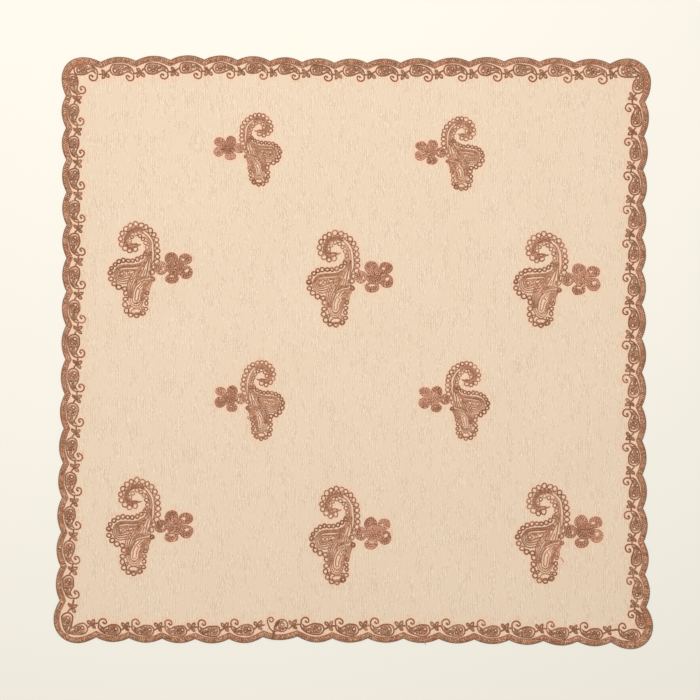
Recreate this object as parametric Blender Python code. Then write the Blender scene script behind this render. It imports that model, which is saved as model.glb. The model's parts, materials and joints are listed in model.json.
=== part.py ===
"""A square embroidered bandana, lying flat on a surface.

It is one crepe cloth, cut to a scalloped edge. A dense embroidered border runs all round it and ten
paisley sprigs are worked on the field, and the cloth is thicker there. Nothing is sewn on, so it is one
solid. Metres, +Z up. The cloth lies on z = 0, and the origin is under the middle of its outline.
"""

import math
from collections import namedtuple

import bpy
from mathutils import Vector
from mathutils.geometry import interpolate_bezier

MM = 0.001

# Thickness of the bare crepe, and of the cloth where it is embroidered
FIELD_THICKNESS = 1.0 * MM
BORDER_THICKNESS = 1.8 * MM
PAISLEY_THICKNESS = 1.8 * MM
DROP_THICKNESS = 1.7 * MM
FLOWER_THICKNESS = 1.75 * MM
LEAF_THICKNESS = 1.65 * MM
PAD_ROOT = 0.4 * MM  # height at which an embroidered pad starts, inside the cloth

# Scalloped edge: each scallop is a shallow arch between two cusps
SCALLOPS_A_SIDE = 15
SCALLOP_RISE = 4.4 * MM
SCALLOP_STEPS = 6

# The four corner scallops are larger, and round
CORNER_ALONG = 28.0 * MM
CORNER_STEPS = 16

# Embroidered border, measured inwards from the line of cusps. Its inner edge swells where a curl reaches
# into the field. CURL_AT is the curl's place, as a share of the scallop from its paisley's round end
BORDER_DEPTH = 12.5 * MM
CURL_DEPTH = 5.5 * MM
CURL_AT = 0.74
CURL_SHARPNESS = 4

# The sides, anticlockwise from the bottom one, in mm. Each runs from its first cusp to its last. bow
# draws it in, in one swell, two and three; slide moves its cusps along it in the same way. corner_out is
# how boldly the corner scallop after it bulges. curls is +1 where the border's curls point along the
# walk, and -1 where they point against it. pinch draws the side in where its border was joined.
Side = namedtuple("Side", "first_x first_y last_x last_y bow slide corner_out curls pinch")
SIDES = (
    Side(-257.0, -285.5, 258.0, -290.5, (1.0, -1.0, -0.4), (-3.0, -2.5, 0.5), 20.0, -1, 3.0),
    Side(293.0, -255.5, 292.0, 249.5, (4.4, 0.0, 0.5), (-1.5, -0.7, -0.6), 17.5, 1, 0.0),
    Side(257.0, 287.5, -252.0, 289.5, (-1.4, 0.3, -1.6), (3.7, 3.0, -1.0), 14.0, -1, 0.0),
    Side(-287.0, 255.5, -293.0, -249.0, (2.7, 0.4, -0.2), (-5.8, -1.4, 0.0), 18.5, 1, 0.0),
)
PINCH_AT = 5.55 / 15  # share of the side
PINCH_REACH = 0.085  # how far from there it dies out, as a share of the side

# The sprigs, in mm: middle, width and height of each as worked. The flower is at its right (+1) or its
# left (-1), and lean turns it anticlockwise, in degrees.
Sprig = namedtuple("Sprig", "x y width height flower lean")
SPRIGS = (
    Sprig(-105.0, 202.0, 68.0, 73.0, -1, 0.0),
    Sprig(97.0, 198.0, 70.0, 74.0, -1, 0.0),
    Sprig(-203.0, 82.0, 85.0, 96.0, 1, 0.0),
    Sprig(-3.5, 73.0, 87.0, 97.0, 1, 0.0),
    Sprig(203.5, 71.5, 87.0, 96.0, 1, -2.5),
    Sprig(-103.0, -48.5, 70.0, 80.0, -1, 0.0),
    Sprig(101.5, -49.0, 71.0, 79.0, -1, 0.0),
    Sprig(-203.5, -175.5, 87.0, 98.0, 1, -2.5),
    Sprig(-3.0, -183.5, 82.0, 98.0, 1, 0.0),
    Sprig(206.0, -181.5, 88.0, 100.0, 1, 0.0),
)

# One sprig, in mm, on a design 87 wide and 97 high, with the flower at its right. A shape is swept along
# its stations, and half is its half width there.
DESIGN_WIDTH = 87.0
DESIGN_HEIGHT = 97.0
Station = namedtuple("Station", "x y half")
PAISLEY = (
    Station(-27.0, -5.4, 16.4),
    Station(-13.5, -2.5, 15.0),
    Station(-4.5, 4.0, 12.0),
    Station(1.2, 12.0, 9.6),
    Station(2.9, 21.0, 7.8),
    Station(1.1, 29.6, 8.2),
    Station(-4.2, 37.0, 7.9),
    Station(-13.0, 41.4, 7.3),
    Station(-21.3, 37.8, 7.5),
    Station(-25.4, 31.0, 7.3),
    Station(-24.4, 24.2, 5.9),
    Station(-18.0, 20.7, 4.7),
    Station(-10.0, 23.7, 2.0),
)
DROP = (
    Station(-14.8, -34.8, 13.5),
    Station(-14.0, -24.0, 13.2),
    Station(-8.0, -14.0, 11.0),
    Station(-1.0, -8.5, 6.0),
)
LEAF = (
    Station(11.5, 0.6, 5.4),
    Station(5.0, 0.4, 3.6),
)
FLOWER_X = 28.0
FLOWER_Y = 0.0
FLOWER_RADIUS = 15.8
FLOWER_DIP = 3.8  # how far its edge draws in between two petals
PETALS = 5
PETAL_STEPS = 5
ROUND_END_STEPS = 6

CREPE_COLOUR = (0.855, 0.67, 0.475, 1.0)
CREPE_ROUGHNESS = 0.85


def swells(amounts, share):
    """A smooth offset, nought at both ends of a side: the first amount as one swell, the next as two."""
    waves = enumerate(amounts, start=1)
    return sum(amount * math.sin(wave * math.pi * share) for wave, amount in waves)


def pinched(share):
    """How much of a side's pinch there is at this share of it, from 0 to 1."""
    off = min(1.0, abs(share - PINCH_AT) / PINCH_REACH)
    return math.cos(off * math.pi / 2) ** 2


def side_point(side, share, inwards):
    """A point beside the line of cusps, at this share of the side and this far into the cloth."""
    first = Vector((side.first_x, side.first_y)) * MM
    last = Vector((side.last_x, side.last_y)) * MM
    along = (last - first).normalized()
    into = Vector((-along.y, along.x))
    slide = swells(side.slide, share) * MM
    bow = (swells(side.bow, share) + side.pinch * pinched(share)) * MM
    return first.lerp(last, share) + along * slide + into * (bow + inwards)


def border_depth(side, step_share):
    """How far the embroidery reaches in, at this share of a scallop."""
    from_round_end = step_share if side.curls > 0 else 1.0 - step_share
    nearness = math.cos(math.pi * (from_round_end - CURL_AT))
    return BORDER_DEPTH + CURL_DEPTH * nearness**CURL_SHARPNESS


def corner_curves(side, following):
    """The round outer curve and the inner curve of the corner between two sides, from cusp to cusp."""
    start = side_point(side, 1.0, 0.0)
    end = side_point(following, 0.0, 0.0)
    leaving = (start - side_point(side, 0.0, 0.0)).normalized()
    arriving = (side_point(following, 1.0, 0.0) - end).normalized()
    out_of_side = Vector((leaving.y, -leaving.x))
    out_of_next = Vector((arriving.y, -arriving.x))
    bulge = side.corner_out * MM
    outer = interpolate_bezier(
        start,
        start + leaving * CORNER_ALONG + out_of_side * bulge,
        end - arriving * CORNER_ALONG + out_of_next * bulge,
        end,
        CORNER_STEPS + 1,
    )
    inner_start = side_point(side, 1.0, border_depth(side, 1.0))
    inner_end = side_point(following, 0.0, border_depth(following, 0.0))
    inner = interpolate_bezier(
        inner_start,
        inner_start + leaving * BORDER_DEPTH,
        inner_end - arriving * BORDER_DEPTH,
        inner_end,
        CORNER_STEPS + 1,
    )
    return outer, inner


def edge_loops():
    """The scalloped outline and the border's inner edge, anticlockwise, with matching points, both moved so
    that the outline's box is centred. The middle that was taken off them comes third."""
    outer, inner = [], []
    for index, side in enumerate(SIDES):
        for scallop in range(SCALLOPS_A_SIDE):
            for step in range(SCALLOP_STEPS):
                share = step / SCALLOP_STEPS
                at = (scallop + share) / SCALLOPS_A_SIDE
                arch = SCALLOP_RISE * 4 * share * (1 - share)
                outer.append(side_point(side, at, -arch))
                inner.append(side_point(side, at, border_depth(side, share)))
        corner_outer, corner_inner = corner_curves(side, SIDES[(index + 1) % len(SIDES)])
        outer += [point.to_2d() for point in corner_outer[:-1]]
        inner += [point.to_2d() for point in corner_inner[:-1]]
    low = Vector((min(p.x for p in outer), min(p.y for p in outer)))
    high = Vector((max(p.x for p in outer), max(p.y for p in outer)))
    middle = (low + high) / 2
    return [p - middle for p in outer], [p - middle for p in inner], middle


def ring_at(loop, height):
    return [(point.x, point.y, height) for point in loop]


def new_object(name, vertices, faces):
    mesh = bpy.data.meshes.new(name)
    mesh.from_pydata(vertices, [], faces)
    mesh.validate()
    mesh.update()
    made = bpy.data.objects.new(name, mesh)
    bpy.context.scene.collection.objects.link(made)
    return made


def walls(lower, upper, count):
    """Quads between two rings of vertices, facing out of an anticlockwise loop."""
    return [
        (lower + i, lower + (i + 1) % count, upper + (i + 1) % count, upper + i) for i in range(count)
    ]


def crepe():
    material = bpy.data.materials.new("crepe")
    material.use_nodes = True
    shader = material.node_tree.nodes["Principled BSDF"]
    shader.inputs["Base Color"].default_value = CREPE_COLOUR
    shader.inputs["Roughness"].default_value = CREPE_ROUGHNESS
    shader.inputs["Metallic"].default_value = 0.0
    return material


def cloth(outer, inner):
    """The cloth with its thick border: bottom, edge, border's top, step down to the field, field."""
    count = len(outer)
    rings = (
        ring_at(outer, 0.0),
        ring_at(outer, BORDER_THICKNESS),
        ring_at(inner, BORDER_THICKNESS),
        ring_at(inner, FIELD_THICKNESS),
    )
    vertices = [vertex for ring in rings for vertex in ring]
    faces = [tuple(reversed(range(count)))]
    for level in range(len(rings) - 1):
        faces += walls(level * count, (level + 1) * count, count)
    faces.append(tuple(range((len(rings) - 1) * count, len(rings) * count)))
    made = new_object("cloth", vertices, faces)
    made.data.materials.append(crepe())
    return made


def swept_outline(stations):
    """An outline round the stations: along one side, round the last, back, and round the first."""
    points = [Vector((s.x, s.y)) for s in stations]
    ways = []
    for i in range(len(points)):
        before = points[max(i - 1, 0)]
        after = points[min(i + 1, len(points) - 1)]
        ways.append((after - before).normalized())
    right = []
    left = []
    for station, point, way in zip(stations, points, ways):
        across = Vector((way.y, -way.x)) * station.half
        right.append(point + across)
        left.append(point - across)
    outline = right[1:-1]
    outline += round_end(points[-1], ways[-1], stations[-1].half)
    outline += reversed(left[1:-1])
    outline += round_end(points[0], -ways[0], stations[0].half)
    return outline


def round_end(centre, way, radius):
    """A half circle round the end of a sweep, anticlockwise, bulging the given way."""
    start = math.atan2(way.y, way.x) - math.pi / 2
    angles = [start + math.pi * i / ROUND_END_STEPS for i in range(ROUND_END_STEPS + 1)]
    return [centre + Vector((math.cos(a), math.sin(a))) * radius for a in angles]


def flower_outline():
    outline = []
    for i in range(PETALS * PETAL_STEPS):
        angle = 2 * math.pi * i / (PETALS * PETAL_STEPS)
        notch = 1 - abs(math.sin(PETALS * angle / 2))
        radius = FLOWER_RADIUS - FLOWER_DIP * notch
        outline.append(Vector((FLOWER_X + radius * math.cos(angle), FLOWER_Y + radius * math.sin(angle))))
    return outline


def placed(outline, sprig, middle):
    """Stretches a design outline to the sprig's size, mirrors and turns it, and puts it on the cloth."""
    lean = math.radians(sprig.lean)
    loop = []
    for point in outline:
        x = point.x * sprig.flower * sprig.width / DESIGN_WIDTH
        y = point.y * sprig.height / DESIGN_HEIGHT
        turned_x = x * math.cos(lean) - y * math.sin(lean)
        turned_y = x * math.sin(lean) + y * math.cos(lean)
        loop.append(Vector((sprig.x + turned_x, sprig.y + turned_y)) * MM - middle)
    return loop if sprig.flower > 0 else list(reversed(loop))


def pad(name, loop, thickness):
    """A flat pad that stands on the cloth, to be joined to it."""
    count = len(loop)
    vertices = ring_at(loop, PAD_ROOT) + ring_at(loop, thickness)
    faces = [tuple(reversed(range(count)))] + walls(0, count, count)
    faces.append(tuple(range(count, 2 * count)))
    made = new_object(name, vertices, faces)
    made.hide_render = True
    made.display_type = "WIRE"
    return made


def join(target, other):
    union = target.modifiers.new(f"with {other.name}", "BOOLEAN")
    union.operation = "UNION"
    union.solver = "EXACT"
    union.object = other


def bandana():
    outer, inner, middle = edge_loops()
    made = cloth(outer, inner)
    shapes = (
        ("paisley", swept_outline(PAISLEY), PAISLEY_THICKNESS),
        ("drop", swept_outline(DROP), DROP_THICKNESS),
        ("leaf", swept_outline(LEAF), LEAF_THICKNESS),
        ("flower", flower_outline(), FLOWER_THICKNESS),
    )
    for number, sprig in enumerate(SPRIGS, start=1):
        for name, outline, thickness in shapes:
            join(made, pad(f"{name}_{number}", placed(outline, sprig, middle), thickness))
    return made


for old in list(bpy.data.objects):
    bpy.data.objects.remove(old, do_unlink=True)
bandana()
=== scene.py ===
"""The looks of a square embroidered bandana that lies flat: its crepe ground, the satin band along its
scalloped edge, the paisleys and leaves of its border, ten large and small sprigs, and loose thread ends.
Metres, +Z up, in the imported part's own frame. Tables are in mm and are multiplied by MM.
"""

import json
import math
from collections import namedtuple

import bpy
import numpy as np
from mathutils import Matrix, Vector, kdtree, noise
from mathutils.geometry import interpolate_bezier

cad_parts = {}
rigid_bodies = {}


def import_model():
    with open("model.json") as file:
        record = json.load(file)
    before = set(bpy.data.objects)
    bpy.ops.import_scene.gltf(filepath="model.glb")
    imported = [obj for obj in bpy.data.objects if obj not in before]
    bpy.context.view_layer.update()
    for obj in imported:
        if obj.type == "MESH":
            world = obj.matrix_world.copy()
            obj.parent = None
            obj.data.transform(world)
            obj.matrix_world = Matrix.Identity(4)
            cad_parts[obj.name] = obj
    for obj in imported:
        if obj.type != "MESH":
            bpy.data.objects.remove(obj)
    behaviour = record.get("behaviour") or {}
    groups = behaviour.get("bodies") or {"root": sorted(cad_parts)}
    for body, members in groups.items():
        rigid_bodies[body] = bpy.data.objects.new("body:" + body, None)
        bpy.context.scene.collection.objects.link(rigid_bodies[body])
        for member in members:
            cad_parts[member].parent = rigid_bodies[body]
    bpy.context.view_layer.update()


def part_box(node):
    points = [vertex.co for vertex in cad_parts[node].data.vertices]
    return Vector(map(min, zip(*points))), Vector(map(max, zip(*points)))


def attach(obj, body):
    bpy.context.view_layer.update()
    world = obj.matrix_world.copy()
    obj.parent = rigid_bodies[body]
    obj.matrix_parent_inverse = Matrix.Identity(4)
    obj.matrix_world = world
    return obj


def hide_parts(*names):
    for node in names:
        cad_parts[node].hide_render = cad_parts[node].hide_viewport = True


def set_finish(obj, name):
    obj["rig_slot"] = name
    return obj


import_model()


# --------------------------------------
# The ground: one square of cotton crepe, cut to a scalloped edge and hemmed by the satin band alone.
# It is thin and soft, and lies flat but for the shallow waves that the crinkled weave gives it.

MM = 0.001

# The sides, anticlockwise from the bottom one, in mm. Each runs from its first cusp to its last. bow
# draws it in, in one swell, two and three; slide moves its cusps along it in the same way. corner_out is
# how boldly the corner scallop after it bulges. curls is +1 where the border's curls point along the
# walk, and -1 where they point against it. pinch draws the side in where its border was joined.
Side = namedtuple("Side", "first_x first_y last_x last_y bow slide corner_out curls pinch")
SIDES = (
    Side(-257.0, -285.5, 258.0, -290.5, (1.0, -1.0, -0.4), (-3.0, -2.5, 0.5), 20.0, -1, 3.0),
    Side(293.0, -255.5, 292.0, 249.5, (4.4, 0.0, 0.5), (-1.5, -0.7, -0.6), 17.5, 1, 0.0),
    Side(257.0, 287.5, -252.0, 289.5, (-1.4, 0.3, -1.6), (3.7, 3.0, -1.0), 14.0, -1, 0.0),
    Side(-287.0, 255.5, -293.0, -249.0, (2.7, 0.4, -0.2), (-5.8, -1.4, 0.0), 18.5, 1, 0.0),
)
PINCH_AT = 5.55 / 15  # share of the side
PINCH_REACH = 0.085  # how far from there it dies out, as a share of the side
SCALLOPS_A_SIDE = 15
SCALLOP_RISE = 4.4 * MM
SCALLOP_STEPS = 10
CORNER_ALONG = 28.0 * MM
CORNER_STEPS = 12
CORNER_BLEND = 0.25  # share of a corner over which its inset turns from square on the side to square on it

CREPE_UNDERSIDE = 0.45 * MM
CREPE_THICKNESS = 0.35 * MM
CREPE_EDGE = 0.8 * MM  # the crepe ends this far inside the outline, under the band's outer cord
WAVES = ((0.13 * MM, 11 * MM, 30 * MM), (0.06 * MM, 6 * MM, 15 * MM))  # height, width and length
WAVE_FADE = 40 * MM  # the band holds the crepe flat at the edge, and lets it go over this distance


def swells(amounts, share):
    """A smooth offset, nought at both ends of a side: the first amount as one swell, the next as two."""
    waves = enumerate(amounts, start=1)
    return sum(amount * math.sin(wave * math.pi * share) for wave, amount in waves)


def pinched(share):
    """How much of a side's pinch there is at this share of it, from 0 to 1."""
    off = min(1.0, abs(share - PINCH_AT) / PINCH_REACH)
    return math.cos(off * math.pi / 2) ** 2


def side_point(side, share, inwards):
    """A point beside the line of cusps, at this share of the side and this far into the cloth."""
    first = Vector((side.first_x, side.first_y)) * MM
    last = Vector((side.last_x, side.last_y)) * MM
    along = (last - first).normalized()
    into = Vector((-along.y, along.x))
    slide = swells(side.slide, share) * MM
    bow = (swells(side.bow, share) + side.pinch * pinched(share)) * MM
    return first.lerp(last, share) + along * slide + into * (bow + inwards)


def corner_points(side, following, inset, swell, steps):
    """The round corner scallop between two sides, from cusp to the one before last, moved in by inset and,
    halfway round, by swell as well."""
    start = side_point(side, 1.0, 0.0)
    end = side_point(following, 0.0, 0.0)
    leaving = (start - side_point(side, 0.0, 0.0)).normalized()
    arriving = (side_point(following, 1.0, 0.0) - end).normalized()
    bulge = side.corner_out * MM
    curve = interpolate_bezier(
        start,
        start + leaving * CORNER_ALONG + Vector((leaving.y, -leaving.x)) * bulge,
        end - arriving * CORNER_ALONG + Vector((arriving.y, -arriving.x)) * bulge,
        end,
        steps + 1,
    )
    points = []
    for i in range(steps):
        share = i / steps
        way = (curve[i + 1] - curve[max(i - 1, 0)]).to_2d().normalized()
        square = (leaving if share < 0.5 else arriving).to_2d()
        hold = min(1.0, min(share, 1 - share) / CORNER_BLEND)
        mixed = square.lerp(way, hold).normalized()
        inwards = inset + swell * math.sin(math.pi * share)
        points.append(curve[i].to_2d() + Vector((-mixed.y, mixed.x)) * inwards)
    return points


def edge_loop(
    depth, corner_inset, scallop_steps=SCALLOP_STEPS, corner_steps=CORNER_STEPS, swelling=(0, 0, 0, 0)
):
    """A closed loop beside the scalloped edge, anticlockwise from the bottom side's first cusp. depth gives
    how far inside the line of cusps it runs, from the share of a scallop."""
    loop = []
    for index, side in enumerate(SIDES):
        for step in range(SCALLOPS_A_SIDE * scallop_steps):
            scallop_share = step / scallop_steps % 1.0
            share = step / (SCALLOPS_A_SIDE * scallop_steps)
            loop.append(side_point(side, share, depth(scallop_share)))
        following = SIDES[(index + 1) % len(SIDES)]
        loop += corner_points(side, following, corner_inset, swelling[index] * MM, corner_steps)
    return np.array(loop) - middle


def scallop_depth(inset):
    return lambda share: inset - SCALLOP_RISE * 4 * share * (1 - share)


middle = np.zeros(2)
outline = edge_loop(scallop_depth(0.0), 0.0)
box_low, box_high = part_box("cloth")
middle = (outline.min(0) + outline.max(0)) / 2 - np.array((box_low + box_high).to_2d()) / 2
outline = outline - middle


def patch_between(loop, run):
    """A grid of points that spans a loop of four runs: bottom, right, top and left, anticlockwise."""
    closed = np.vstack([loop, loop[:1]])
    bottom = closed[: run + 1]
    right = closed[run : 2 * run + 1]
    top = closed[2 * run : 3 * run + 1][::-1]
    left = closed[3 * run : 4 * run + 1][::-1]
    u = np.linspace(0, 1, run + 1)[None, :, None]
    v = np.linspace(0, 1, run + 1)[:, None, None]
    sides = (1 - v) * bottom[None] + v * top[None] + (1 - u) * left[:, None] + u * right[:, None]
    corners = (1 - v) * ((1 - u) * bottom[0] + u * bottom[-1]) + v * ((1 - u) * top[0] + u * top[-1])
    return sides - corners


def crinkle_height(x, y, to_edge):
    """The crepe's shallow waves, long up and down the cloth, dying out towards its edge."""
    held = min(1.0, to_edge / WAVE_FADE)
    heights = (h * noise.noise(Vector((x / w, y / l, w / MM))) for h, w, l in WAVES)
    return held * sum(heights)


def new_object(name, vertices, edges, faces):
    mesh = bpy.data.meshes.new(name)
    mesh.from_pydata(vertices, edges, faces)
    made = bpy.data.objects.new(name, mesh)
    bpy.context.scene.collection.objects.link(made)
    return made


def crepe_sheet():
    run = SCALLOPS_A_SIDE * SCALLOP_STEPS + CORNER_STEPS
    loop = np.roll(edge_loop(scallop_depth(CREPE_EDGE), CREPE_EDGE), CORNER_STEPS // 2, axis=0)
    grid = patch_between(loop, run)
    across = run + 1
    reach = np.abs(outline).max()
    lower = []
    for x, y in grid.reshape(-1, 2):
        to_edge = max(0.0, reach - max(abs(x), abs(y)))
        lower.append((x, y, CREPE_UNDERSIDE + crinkle_height(x, y, to_edge)))
    vertices = lower + [(x, y, z + CREPE_THICKNESS) for x, y, z in lower]
    above = across * across
    faces = []
    for row in range(run):
        for column in range(run):
            a = row * across + column
            quad = (a, a + 1, a + across + 1, a + across)
            faces.append(tuple(reversed(quad)))
            faces.append(tuple(corner + above for corner in quad))
    rim = list(range(across)) + [row * across + run for row in range(1, across)]
    rim += [run * across + column for column in reversed(range(run))]
    rim += [row * across for row in reversed(range(1, run))]
    for a, b in zip(rim, rim[1:] + rim[:1]):
        faces.append((a, b, b + above, a + above))
    made = new_object("ground_cloth", vertices, [], faces)
    made.data.shade_smooth()
    return made


def node(tree, kind, feeds=None, **fields):
    """Adds a node to a tree, sets its fields, and feeds its inputs with values or with other outputs."""
    made = tree.nodes.new(kind)
    for field, value in fields.items():
        setattr(made, field, value)
    for socket, value in (feeds or {}).items():
        if isinstance(value, bpy.types.NodeSocket):
            tree.links.new(value, made.inputs[socket])
        else:
            made.inputs[socket].default_value = value
    return made


def maths(tree, operation, *values):
    return node(tree, "ShaderNodeMath", dict(enumerate(values)), operation=operation).outputs[0]


def ranged(tree, value, low, high, new_low, new_high):
    feeds = {"Value": value, "From Min": low, "From Max": high, "To Min": new_low, "To Max": new_high}
    return node(tree, "ShaderNodeMapRange", feeds).outputs["Result"]


def noised(tree, where, sizes, detail=2.0):
    """Noise from 0 to 1 whose blots measure sizes, in metres, along x, y and z."""
    scaled = node(tree, "ShaderNodeMapping", {"Vector": where, "Scale": [1 / size for size in sizes]})
    feeds = {"Vector": scaled.outputs[0], "Scale": 1.0, "Detail": detail}
    return node(tree, "ShaderNodeTexNoise", feeds).outputs["Fac"]


def blended(tree, share, one, other, blend="MIX"):
    """A mix of two colours, by the share of the other one."""
    feeds = {0: share, 6: one, 7: other}
    return node(tree, "ShaderNodeMix", feeds, data_type="RGBA", blend_type=blend).outputs[2]


def marked(tree, label, kind="FLOAT"):
    """What the points of a mesh were marked with under this name."""
    if tree.type == "GEOMETRY":
        return node(tree, "GeometryNodeInputNamedAttribute", {"Name": label}, data_type=kind).outputs[0]
    return node(tree, "ShaderNodeAttribute", attribute_name=label).outputs["Fac"]


def new_tree(kind, name, inputs, outputs):
    """A node group with named inputs and outputs. An input is given by its usual number or, where it has
    none, by its kind. Returns the group, its inputs to read and its outputs to feed."""
    tree = bpy.data.node_groups.new(name, kind)
    for label, value in inputs.items():
        socket = {float: "Float", int: "Int"}.get(type(value), value)
        made = tree.interface.new_socket(label, in_out="INPUT", socket_type=f"NodeSocket{socket}")
        if value != socket:
            made.default_value = value
    for label in outputs:
        socket = "Geometry" if label == "Geometry" else "Float"
        tree.interface.new_socket(label, in_out="OUTPUT", socket_type=f"NodeSocket{socket}")
    return tree, tree.nodes.new("NodeGroupInput").outputs, tree.nodes.new("NodeGroupOutput").inputs


RIB_BENDING = 12.0  # radians by which the crinkles wander from side to side
RIB_STRENGTH = 0.09


def crepe_weave():
    """Short crinkles that run up the cloth, livelier in some streaks of it, with the fine warp and weft."""
    tree, given, result = new_tree(
        "ShaderNodeTree",
        "crepe_weave",
        {"Vector": "Vector", "Rib Pitch": 2.3 * MM, "Thread Pitch": 0.45 * MM},
        ("Streaks", "Mottle", "Height"),
    )
    streaks = noised(tree, given["Vector"], (0.85 * MM, 7 * MM, 6 * MM), 1.0)
    pebbles = noised(tree, given["Vector"], (0.8 * MM, 1.1 * MM, 1.1 * MM), 0.0)
    patches = noised(tree, given["Vector"], (8 * MM, 22 * MM, 20 * MM))
    mottle = noised(tree, given["Vector"], (70 * MM, 90 * MM, 90 * MM))
    bends = noised(tree, given["Vector"], (3 * MM, 6 * MM, 6 * MM), 1.0)
    place = node(tree, "ShaderNodeSeparateXYZ", {0: given["Vector"]}).outputs
    turns = maths(tree, "DIVIDE", 2 * math.pi, given["Thread Pitch"])
    warp = maths(tree, "SINE", maths(tree, "MULTIPLY", place["X"], turns))
    weft = maths(tree, "SINE", maths(tree, "MULTIPLY", place["Y"], turns))
    threads = maths(tree, "MULTIPLY", warp, weft)
    rib_turns = maths(tree, "DIVIDE", 2 * math.pi, given["Rib Pitch"])
    straight = maths(tree, "MULTIPLY", place["X"], rib_turns)
    bent = maths(tree, "MULTIPLY_ADD", bends, RIB_BENDING, straight)
    ribs = maths(tree, "MULTIPLY", maths(tree, "SINE", bent), RIB_STRENGTH)
    crinkle = maths(tree, "MULTIPLY_ADD", streaks, 0.35, -0.35)
    crinkle = maths(tree, "MULTIPLY_ADD", pebbles, 0.35, crinkle)
    crinkle = maths(tree, "ADD", crinkle, ribs)
    liveliness = ranged(tree, patches, 0.42, 0.66, 0.15, 2.1)
    rough = maths(tree, "MULTIPLY_ADD", crinkle, liveliness, 0.5)
    height = maths(tree, "MULTIPLY_ADD", threads, 0.05, rough)
    tree.links.new(rough, result["Streaks"])
    tree.links.new(mottle, result["Mottle"])
    tree.links.new(height, result["Height"])
    return tree


def new_material(name):
    material = bpy.data.materials.new(name)
    material.use_nodes = True
    return material, material.node_tree, material.node_tree.nodes["Principled BSDF"]


# The crepe where it is lit, and in the painted shade of its crinkles.
CREPE_LIGHT = (0.965, 0.780, 0.590, 1.0)
CREPE_SHADED = (0.77, 0.575, 0.390, 1.0)
THREAD_BOUNCE_TINT = (1.08, 0.92, 0.885, 1.0)  # a painted rosy cast near the thread, for the reddish light it bounces onto the crepe


def dress(tree, shader, colour, relief, rough, specular, sheen):
    """Feeds a shader its colour, relief and roughness, and sets how far it shines and how soft it looks."""
    bump = node(tree, "ShaderNodeBump", relief).outputs[0]
    for socket, value in (("Base Color", colour), ("Normal", bump), ("Roughness", rough)):
        tree.links.new(value, shader.inputs[socket])
    shader.inputs["Specular IOR Level"].default_value = specular
    shader.inputs["Sheen Weight"].default_value = sheen


def crepe_material():
    material, tree, shader = new_material("crepe")
    where = node(tree, "ShaderNodeTexCoord").outputs["Object"]
    weave = node(tree, "ShaderNodeGroup", {"Vector": where}, node_tree=crepe_weave()).outputs
    # Painted shade: the colour follows the crinkles and is darker in their streaks, besides their bump.
    streaks = ranged(tree, weave["Streaks"], 0.38, 0.62, 0.8, 0.0)
    shade = maths(tree, "ADD", streaks, ranged(tree, weave["Mottle"], 0.3, 0.7, 0.08, 0.0))
    colour = blended(tree, shade, CREPE_LIGHT, CREPE_SHADED)
    # Painted light: a rosy cast near the embroidery, for the reddish light the thread bounces onto the crepe.
    tinted = blended(tree, marked(tree, "worked"), colour, THREAD_BOUNCE_TINT, "MULTIPLY")
    relief = {"Height": weave["Height"], "Strength": 0.9, "Distance": 0.5 * MM}
    dress(tree, shader, tinted, relief, ranged(tree, weave["Streaks"], 0.3, 0.7, 0.78, 0.92), 0.25, 0.12)
    shader.inputs["Sheen Roughness"].default_value = 0.6
    return material


ground = crepe_sheet()
ground.data.materials.append(crepe_material())
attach(ground, "root")
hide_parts("cloth")
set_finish(ground, "crepe")


# --------------------------------------
# The satin band: threads laid side by side across the edge from an outer to an inner row of needle
# holes, slanting a little, so close that they cover the crepe. A thick cord is couched along each row.

SATIN_WIDTH = 5.9 * MM
SATIN_CORNERS = (2.8, 0.8, 1.6, -1.0)  # in mm: how much wider it is at the corner after each side
SATIN_OUTER = 0.55 * MM
SATIN_PITCH = 1.9 * MM
SATIN_SLANT = 1.2  # in stitches: how far along the inner row a thread ends
SATIN_SWAG = 5.0 * MM  # how far the inner row drops from one cusp towards the middle of the scallop
OUTER_HOLES_HEIGHT = 0.68 * MM
INNER_HOLES_HEIGHT = 0.8 * MM
FINE_STEPS = 40  # points along one scallop while stitches are spaced out
FINE_CORNER_STEPS = 84


def satin_row(loop, pitch):
    """Evenly spaced places along a closed loop, as indices into it with fractions."""
    closed = np.vstack([loop, loop[:1]])
    lengths = np.linalg.norm(np.diff(closed, axis=0), axis=1)
    reached = np.concatenate([[0], np.cumsum(lengths)])
    count = round(reached[-1] / pitch)
    wanted = np.arange(count) * reached[-1] / count
    return np.interp(wanted, reached, np.arange(len(reached)))


def point_at(loop, index):
    low = math.floor(index)
    share = index - low
    return loop[low % len(loop)] * (1 - share) + loop[(low + 1) % len(loop)] * share


def geo(tree, kind, feeds=None, **fields):
    """What a geometry node, called by its short name, puts out first."""
    return node(tree, "GeometryNode" + kind, feeds, **fields).outputs[0]


def mark(tree, geometry, label, value):
    return geo(tree, "StoreNamedAttribute", {"Geometry": geometry, "Name": label, "Value": value})


def chance(tree, given, feeds, kind="FLOAT"):
    """A random value for each point, or for each ID that is fed, from the tree's own seed."""
    feeds = {"Seed": given["Seed"], **feeds}
    return node(tree, "FunctionNodeRandomValue", feeds, data_type=kind).outputs["Value"]


def hand_over(tree, geometry, given, result):
    """Ends a tree: its instances are made real and given the material."""
    real = geo(tree, "RealizeInstances", {"Geometry": geometry})
    made = geo(tree, "SetMaterial", {"Geometry": real, "Material": given["Material"]})
    tree.links.new(made, result["Geometry"])
    return tree


DEEP_THICKENING = 0.42  # by how much a deep thread, which is worked over twice, is the thicker


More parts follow.
